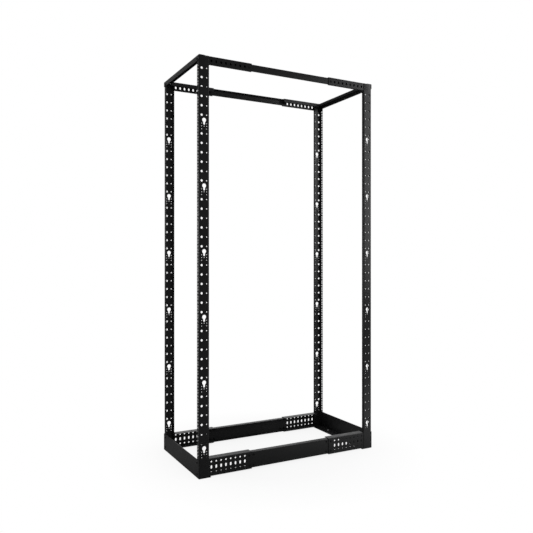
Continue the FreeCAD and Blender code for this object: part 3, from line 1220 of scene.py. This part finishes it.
@dataclass
class Rail:
    """The telescoping rails of one level, in millimetres: four sleeves and two channels.

    Args:
        coat: their finish.
        level: where they lie.
        section: form of the section.
        slot: sizes of a slot, up the sleeve and along it.
        slot_rise: underside of a sleeve to the middle of its slots.
        round_rows: offsets of the round holes' rows from the slots.
        bolt_rows: offsets of the bolts' rows from the slots.
        spare_bolts: whether bolts also sit in the channel, one column past the sleeve's end.
        thickness: thickness of the sheet.
        first_column: mounting face to the first column of slots.
        column: from one column to the next.
        columns: how many columns a sleeve has before its bolts.
        round_hole: diameter of a round hole.
        tab_width: width of the tab against the post's return flange.
    """

    coat: bpy.types.Material
    level: Level
    section: Section
    slot: Pair
    slot_rise: float
    round_rows: tuple[float, ...]
    bolt_rows: tuple[float, ...]
    spare_bolts: bool
    thickness: float = 2.5
    first_column: float = 63.5
    column: float = 25.4
    columns: int = 8
    round_hole: float = 8.0
    tab_width: float = 11.0

    def box(self, part: str) -> Box:
        """Lowest and highest corner of one of this level's nodes."""
        return box_of(f"{self.level.value}_{part}")

    def column_place(self, column: int) -> float:
        """Where a column of the front sleeve lies along the rack."""
        return box_of("post_front_right")[0].y + self.first_column + self.column * column

    def slots(self) -> tuple[Holes, ...]:
        """Lays out a sleeve's web.

        Returns:
            Its slots and round holes.
        """
        row = (Repeat(self.columns, along=self.column),)
        first, (width, height) = self.column_place(0), self.slot
        made = [Holes("slot", Outline.SLOT, width, self.slot_rise, first, row, height=height)]
        for index, offset in enumerate(self.round_rows):
            place = (self.slot_rise + offset, first)
            name = f"round hole {index}"
            made.append(Holes(name, Outline.ROUND, self.round_hole, *place, row, sides=14))
        return tuple(made)

    def sleeve(self) -> bpy.types.Mesh:
        """Makes the front right sleeve.

        Returns:
            The sleeve with its tab against the post.
        """
        low, high = self.box("sleeve_front_right")
        start = box_of("post_front_right")[1].y
        corners = self.section.sleeve((low, high))
        web = corners.index((high.x, low.z))
        # the web and what is under it start behind the post, and the rest runs on beside it
        behind = ((start, high.y),) * (web + 1)
        spans = behind + ((low.y, high.y),) * (len(corners) - 1 - len(behind))
        holes = tuple(self.slots() if panel == web else () for panel in range(len(spans)))
        sheet = Sheet(Run.REARWARD, corners, spans, self.thickness, holes)
        inner, back = high.x - self.thickness, start + self.thickness
        tab = Sheet(
            Run.UP,
            ((inner, back), (inner - self.tab_width, back)),
            ((low.z + self.thickness, high.z - self.thickness),),
            self.thickness,
            ((),),
        )
        return joined(sheet.build(self.coat), tab.build(self.coat))

    def nest(self) -> float:
        """From the outside of a sleeve to the outside of the channel in it."""
        return self.box("sleeve_front_right")[1].x - self.box("channel_right")[1].x

    def build(self) -> None:
        """Makes the sleeves and channels of this level."""
        four_corners(f"{self.level.value}_sleeve", self.sleeve())
        low, high = self.box("channel_right")
        corners = self.section.channel((low, high), self.nest())
        spans = ((low.y, high.y),) * 3
        channel = Sheet(Run.REARWARD, corners, spans, self.thickness, ((), (), ()))
        mesh = channel.build(self.coat)
        for side, sign in (("right", 1), ("left", -1)):
            name = f"{self.level.value}_channel"
            place_piece(f"{side}_{name}", mirrored(mesh, (sign, 1)), f"{name}_{side}")

    def bolts(self) -> list[Bolt]:
        """Sets out the bolts of the front right sleeve.

        Returns:
            Those through its end, those in the channel beyond it, and those into the post.
        """
        low, high = self.box("sleeve_front_right")
        outside, sheet, nest = high.x, self.thickness, self.nest()
        tab_middle = outside - sheet - self.tab_width / 2
        seat = box_of("post_front_right")[1].y + sheet
        joint, spare = self.column_place(self.columns), self.column_place(self.columns + 1)
        made = []
        for offset in self.bolt_rows:
            rise = low.z + self.slot_rise + offset
            made.append(Bolt((outside, joint, rise), (1, 0, 0), nest + sheet))
            if self.spare_bolts:
                made.append(Bolt((outside - nest, spare, rise), (1, 0, 0), sheet))
            made.append(Bolt((tab_middle, seat, rise), (0, 1, 0), sheet * 2))
        return made


@dataclass
class EndBeams:
    """The base angles and head beams across the front and the rear, in millimetres.

    Args:
        coat: their finish.
        thickness: thickness of the sheet.
        fold: outer radius of a fold.
        bolt_column: side of the rack to the bolts.
        base_bolts: heights of the bolts in a base angle.
        head_bolt: height of the bolt in a head beam, above the beam's lower edge.
        anchor_hole: diameter of a floor anchor hole.
        anchor_side_inset: side of the rack to an anchor hole.
        anchor_face_inset: outer face to the anchor holes.
        leg: inner leg that hangs from a head beam's top flange.
        leg_gap: from that leg's ends to the posts.
    """

    coat: bpy.types.Material
    thickness: float = 3.0
    fold: float = 3.1
    bolt_column: float = 21.45
    base_bolts: Pair = (20.0, 73.0)
    head_bolt: float = 8.4
    anchor_hole: float = 13.0
    anchor_side_inset: float = 116.0
    anchor_face_inset: float = 25.0
    leg: float = 15.0
    leg_gap: float = 1.0

    def base(self) -> Sheet:
        """Lays out the front base angle.

        Returns:
            Its sheet, with the anchor holes in its foot.
        """
        low, high = box_of("base_end_front")
        across = high.x - self.anchor_side_inset
        anchors = Holes(
            "anchor hole", Outline.ROUND, self.anchor_hole,
            self.anchor_face_inset, -across, (Repeat(2, along=2 * across),), sides=28,
        )
        corners = ((low.y, high.z), (low.y, low.z), (high.y, low.z))
        spans = ((low.x, high.x),) * 2
        return Sheet(Run.ACROSS, corners, spans, self.thickness, ((), (anchors,)), self.fold)

    def head(self) -> Sheet:
        """Lays out the front head beam.

        Returns:
            Its sheet, with the short leg between the posts.
        """
        low, high = box_of("top_end_front")
        corners = ((high.y, high.z), (low.y, high.z), (low.y, low.z))
        leg_end = box_of("post_front_right")[0].x - self.leg_gap
        spans = ((-leg_end, leg_end), (low.x, high.x), (low.x, high.x))
        leg = ((high.y, high.z - self.leg),)
        return Sheet(Run.ACROSS, leg + corners, spans, self.thickness, ((), (), ()), self.fold)

    def build(self) -> None:
        """Makes the four beams."""
        for name, node, sheet in (
            ("base_beam", "base_end", self.base()),
            ("head_beam", "top_end", self.head()),
        ):
            mesh = sheet.build(self.coat)
            for end, sign in (("front", 1), ("rear", -1)):
                place_piece(f"{end}_{name}", mirrored(mesh, (1, sign)), f"{node}_{end}")

    def bolts(self) -> list[Bolt]:
        """Sets out the bolts at the right end of the front beams.

        Returns:
            The bolts into the post.
        """
        low, high = box_of("base_end_front")
        grip = self.thickness + Posts.thickness
        column = high.x - self.bolt_column
        rises = (*self.base_bolts, box_of("top_end_front")[0].z + self.head_bolt)
        return [Bolt((column, low.y, rise), (0, -1, 0), grip) for rise in rises]


@dataclass
class Rack:
    """The whole rack: its sub-assemblies, and the fasteners that hold them together.

    Args:
        coat: finish of the sheet steel.
        steel: finish of the fasteners.
    """

    coat: PowderCoat
    steel: BlackOxide

    def build(self) -> None:
        """Makes every piece."""
        coat, steel = self.coat.material(), self.steel.material()
        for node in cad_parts.values():
            for place in node.material_slots:
                place.material = coat
        beams = EndBeams(coat)
        rails = (
            Rail(
                coat, Level.BASE, Section(lip=28.0, lower_leg=9.5),
                slot=(16.0, 9.0), slot_rise=43.1,
                round_rows=(25.5, -25.3), bolt_rows=(25.5, -25.3), spare_bolts=True,
            ),
            Rail(
                coat, Level.TOP, Section(lip=11.0, upper_leg=20.0),
                slot=(14.0, 9.5), slot_rise=18.4,
                round_rows=(), bolt_rows=(0.0,), spare_bolts=False,
            ),
        )
        for part in (Posts(coat, UnitGrid()), beams, *rails):
            part.build()
        corner = [bolt for part in (beams, *rails) for bolt in part.bolts()]
        bolts = [bolt.at_corner(signs) for bolt in corner for signs in CORNERS.values()]
        fastener_set("button_head_bolts", BUTTON_HEAD, bolts, steel)
        fastener_set("flange_nuts", FLANGE_NUT, [bolt.nut() for bolt in bolts], steel)


# ---------------- studio


def facing(name: str, data: bpy.types.ID, place: Triple, way: Vector) -> bpy.types.Object:
    """Hangs a lamp or the camera.

    Args:
        name: its name.
        data: the lamp or camera.
        place: where it hangs, in metres.
        way: the way that it faces.

    Returns:
        The object that holds it.
    """
    holder = in_scene(name, data)
    holder.location = place
    holder.rotation_euler = way.to_track_quat("-Z", "Y").to_euler()
    return holder


def glow(tree: NodeTree, strength: Value | float) -> Value:
    """A white glow."""
    return tree.add("ShaderNodeEmission", {}, {"Color": WHITE, "Strength": strength}).out()


@dataclass(frozen=True)
class Softbox:
    """An area lamp that faces the rack.

    Args:
        name: what it is for.
        place: where it hangs, in metres.
        aim: the point that it faces.
        size: its width and height.
        power: its power, in watts.
    """

    name: str
    place: Triple
    aim: Triple
    size: Pair
    power: float

    def hang(self) -> None:
        """Adds the lamp."""
        lamp = bpy.data.lights.new(self.name, "AREA")
        lamp.shape = "RECTANGLE"
        lamp.size, lamp.size_y = self.size
        lamp.energy = self.power
        facing(self.name, lamp, self.place, Vector(self.aim) - Vector(self.place))


@dataclass(frozen=True)
class Pool:
    """A painted pool of light on the floor: a glow that only the coat's reflections show.

    Args:
        place: its middle, in metres.
        reach: how far it reaches.
        level: how bright its middle is.
    """

    place: Triple
    reach: float
    level: float

    def brightness(self, tree: NodeTree, place: Value) -> Value:
        """Fades the pool towards its edge.

        Args:
            tree: the tree that asks.
            place: a place on the floor.

        Returns:
            How bright the painted pool makes the floor there, in reflections.
        """
        # painted light: a pool of glow that fades from its middle, seen only in reflections
        away = tree.vector_maths("DISTANCE", place, self.place).out("Value")
        share = (1.0 - away / self.reach).clamp()
        return share * share * self.level


@dataclass(frozen=True)
class Studio:
    """Pale floor, white backdrop, soft lamps and the camera.

    Args:
        light_level: how strongly the surroundings light the rack.
        dim_level: how bright the studio is on the camera's side, as the coat's gloss shows it.
        backdrop_edge: cosines of the angles from the heading where the backdrop starts and is full.
        floor_reach: half the floor's side, in metres.
        floor_drop: how far the floor lies under the rack's feet, in metres.
        floor_paint: the floor's colour.
        floor_white: how much of the floor is plain white to the eye; the rest keeps the shadow.
        shadow_reach: distances from the rack's middle between which the floor turns plain white.
        heading: the way that the camera looks, level.
        camera_place: where the camera stands, in metres.
        film_width: width of its film, in millimetres.
        focal_length: length of its lens, in millimetres.
        rise: how far its view is shifted up, as a share of its width.
        pools: painted pools of light on the floor, which only the coat's reflections show.
        lamps: the softboxes.
    """

    light_level: float = 0.5
    dim_level: float = 0.06
    backdrop_edge: Pair = (0.68, 0.88)
    floor_reach: float = 60.0
    floor_drop: float = 0.0005
    floor_paint: tuple[float, ...] = (0.9, 0.9, 0.9, 1.0)
    floor_white: float = 0.85
    shadow_reach: Pair = (0.45, 0.85)
    heading: Triple = (-0.8808, 0.4735, 0.0)
    camera_place: Triple = (2.877, -1.558, 1.0275)
    film_width: float = 36.0
    focal_length: float = 40.22
    rise: float = -0.0093
    pools: tuple[Pool, ...] = (
        Pool((0.9, 1.2, 0.0), 1.8, 1.5),
        Pool((-0.2, -0.9, 0.0), 0.9, 0.26),
    )
    lamps: tuple[Softbox, ...] = (
        Softbox("overhead softbox", (0.3, -0.3, 4.2), (0.0, 0.0, 1.0), (3.0, 3.0), 36.0),
        Softbox("side softbox", (1.9, 2.3, 1.9), (0.1, 0.3, 1.2), (0.9, 2.2), 26.0),
        Softbox("front softbox", (-2.2, -3.7, 1.2), (0.0, 0.0, 0.7), (1.6, 1.8), 32.0),
    )

    def backdrop(self, tree: NodeTree, way: Value) -> Value:
        """How much of the white backdrop a direction from the rack meets.

        Args:
            tree: the tree that asks.
            way: the direction.

        Returns:
            1 on the backdrop and 0 on the camera's side of the studio.
        """
        start, full = self.backdrop_edge
        flat = tree.vector_maths("MULTIPLY", way, (1.0, 1.0, 0.0)).out()
        level = tree.vector_maths("NORMALIZE", flat).out()
        turned = tree.vector_maths("DOT_PRODUCT", level, self.heading).out("Value")
        return ((turned - start) / (full - start)).clamp()

    def surround(self) -> None:
        """Surroundings that light the rack at a plain level, with the backdrop behind it."""
        world = bpy.data.worlds.new("surroundings")
        bpy.context.scene.world = world
        tree = NodeTree.of(world)
        path = tree.add("ShaderNodeLightPath")
        way = tree.add("ShaderNodeTexCoord").out("Generated")
        shown = self.backdrop(tree, way) * (1.0 - self.dim_level) + self.dim_level
        glossy = path.out("Is Glossy Ray")
        white = (path.out("Is Camera Ray") + path.out("Is Transmission Ray")).clamp()
        unseen = 1.0 - (white + glossy).clamp()
        level = white + glossy * shown + unseen * self.light_level
        light = tree.add("ShaderNodeBackground", {}, {"Color": WHITE, "Strength": level}).out()
        tree.add("ShaderNodeOutputWorld", {}, {"Surface": light})

    def floor(self) -> None:
        """A pale floor that keeps the rack's shadow, and in the coat's reflections shows a painted
        glow: pools of light over a dim level.
        """
        reach, drop = self.floor_reach, self.floor_drop
        mesh = bpy.data.meshes.new("floor")
        turns = ((-1, -1), (1, -1), (1, 1), (-1, 1))
        mesh.from_pydata([(x * reach, y * reach, -drop) for x, y in turns], [], [(0, 1, 2, 3)])
        paint = bpy.data.materials.new("floor paint")
        tree = NodeTree.of(paint)
        path = tree.add("ShaderNodeLightPath")
        place = tree.add("ShaderNodeTexCoord").out("Object")
        near, far = self.shadow_reach
        away = tree.vector_maths("LENGTH", place).out("Value")
        beyond = ((away - near) / (far - near)).clamp()
        eye = (path.out("Is Camera Ray") + path.out("Is Transmission Ray")).clamp()
        plain = eye * ((1.0 - beyond) * self.floor_white + beyond)
        matt = tree.add("ShaderNodeBsdfDiffuse", {}, {"Color": self.floor_paint}).out()
        to_eye = tree.add("ShaderNodeMixShader", {}, {0: plain, 1: matt, 2: glow(tree, 1.0)}).out()
        # painted light: in reflections the floor glows with the pools of light over the dim level,
        # instead of showing how the lamps light it
        shown = sum((pool.brightness(tree, place) for pool in self.pools), self.dim_level)
        mixed = {0: path.out("Is Glossy Ray"), 1: to_eye, 2: glow(tree, shown)}
        both = tree.add("ShaderNodeMixShader", {}, mixed).out()
        tree.add("ShaderNodeOutputMaterial", {}, {"Surface": both})
        mesh.materials.append(paint)
        floor = in_scene("floor", mesh)

    def camera(self) -> None:
        """A level camera at the front right of the rack."""
        lens = bpy.data.cameras.new("camera")
        lens.sensor_width = self.film_width
        lens.lens = self.focal_length
        lens.shift_y = self.rise
        camera = facing("camera", lens, self.camera_place, Vector(self.heading))
        bpy.context.scene.camera = camera

    def build(self) -> None:
        """Sets up the whole studio."""
        self.surround()
        self.floor()
        for lamp in self.lamps:
            lamp.hang()
        self.camera()
        bpy.context.scene.view_settings.view_transform = "Standard"


def main() -> None:
    """Builds the rack and its studio."""
    Rack(PowderCoat(), BlackOxide()).build()
    Studio().build()


if __name__ == "__main__":
    main()
